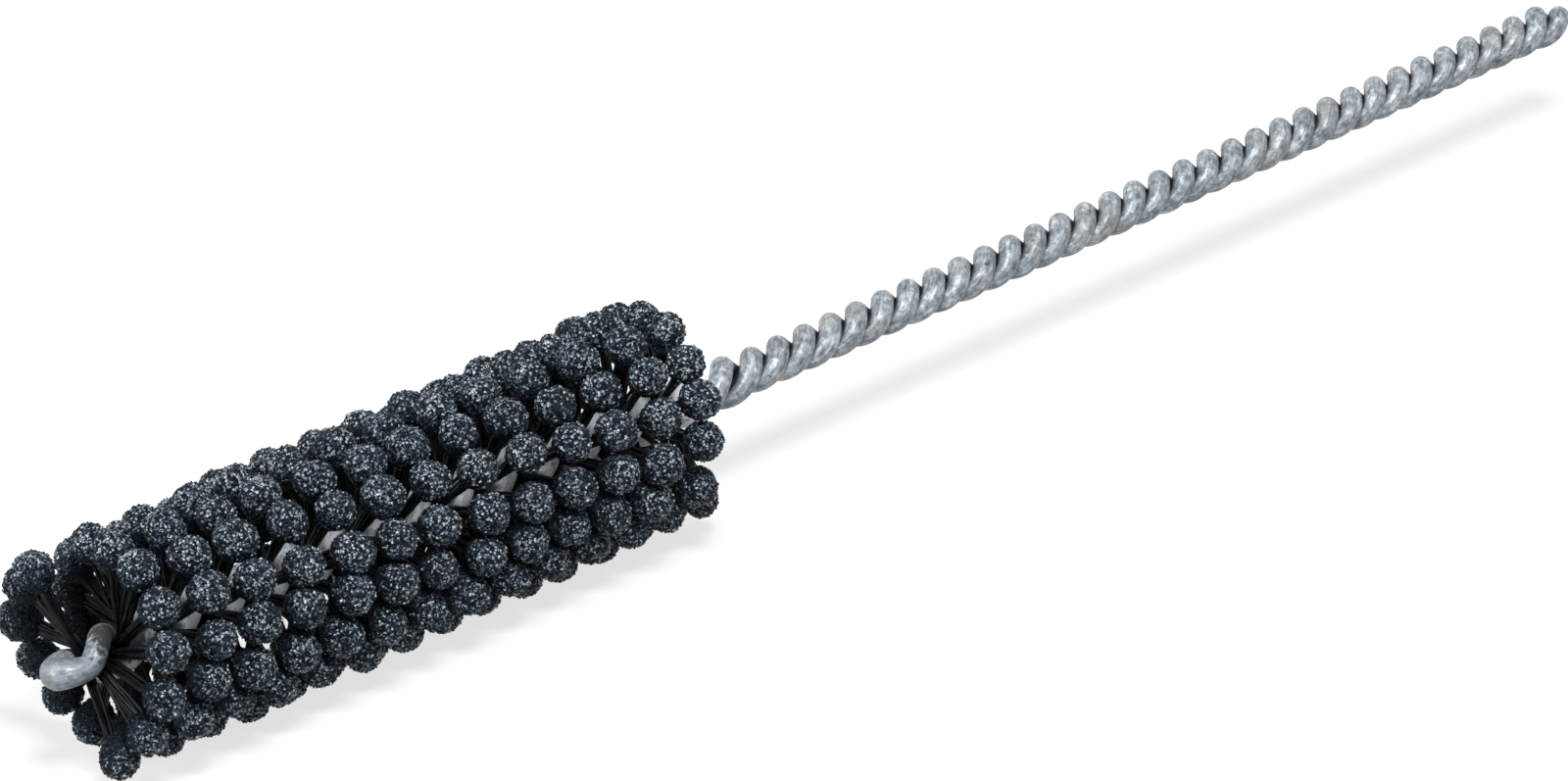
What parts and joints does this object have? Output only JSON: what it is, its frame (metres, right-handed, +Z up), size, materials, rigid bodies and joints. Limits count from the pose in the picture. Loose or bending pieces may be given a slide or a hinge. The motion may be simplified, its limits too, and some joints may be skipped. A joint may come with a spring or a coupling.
{
  "type": "flexible ball hone",
  "caption": "Flexible ball hone: abrasive globules on nylon filaments, held in a double spiral by a twisted wire stem whose plain end goes in a drill chuck.",
  "frame": {"origin": "centre of the shank end, on the axis of the stem", "axes": "+X along the stem's axis, from the brush out of the shank end; +Z up with the tool lying level"},
  "size_m": [0.2, 0.021, 0.021],
  "materials": {
    "galvanised_wire": "satin galvanised steel wire, mottled and lightly scratched",
    "nylon_filament": "semi-gloss black nylon filament",
    "abrasive_globule": "rough dark grit in resin with sparkling pale grains"
  },
  "bodies": {
    "root": {"stem_wire": "galvanised_wire", "bristle_row_01": "nylon_filament", "globule_row_01": "abrasive_globule", "bristle_row_02": "nylon_filament", "globule_row_02": "abrasive_globule", "bristle_row_03": "nylon_filament", "globule_row_03": "abrasive_globule", "bristle_row_04": "nylon_filament", "globule_row_04": "abrasive_globule", "bristle_row_05": "nylon_filament", "globule_row_05": "abrasive_globule", "bristle_row_06": "nylon_filament", "globule_row_06": "abrasive_globule", "bristle_row_07": "nylon_filament", "globule_row_07": "abrasive_globule", "bristle_row_08": "nylon_filament", "globule_row_08": "abrasive_globule", "bristle_row_09": "nylon_filament", "globule_row_09": "abrasive_globule", "bristle_row_10": "nylon_filament", "globule_row_10": "abrasive_globule", "bristle_row_11": "nylon_filament", "globule_row_11": "abrasive_globule", "bristle_row_12": "nylon_filament", "globule_row_12": "abrasive_globule", "bristle_row_13": "nylon_filament", "globule_row_13": "abrasive_globule"}
  },
  "joints": []
}
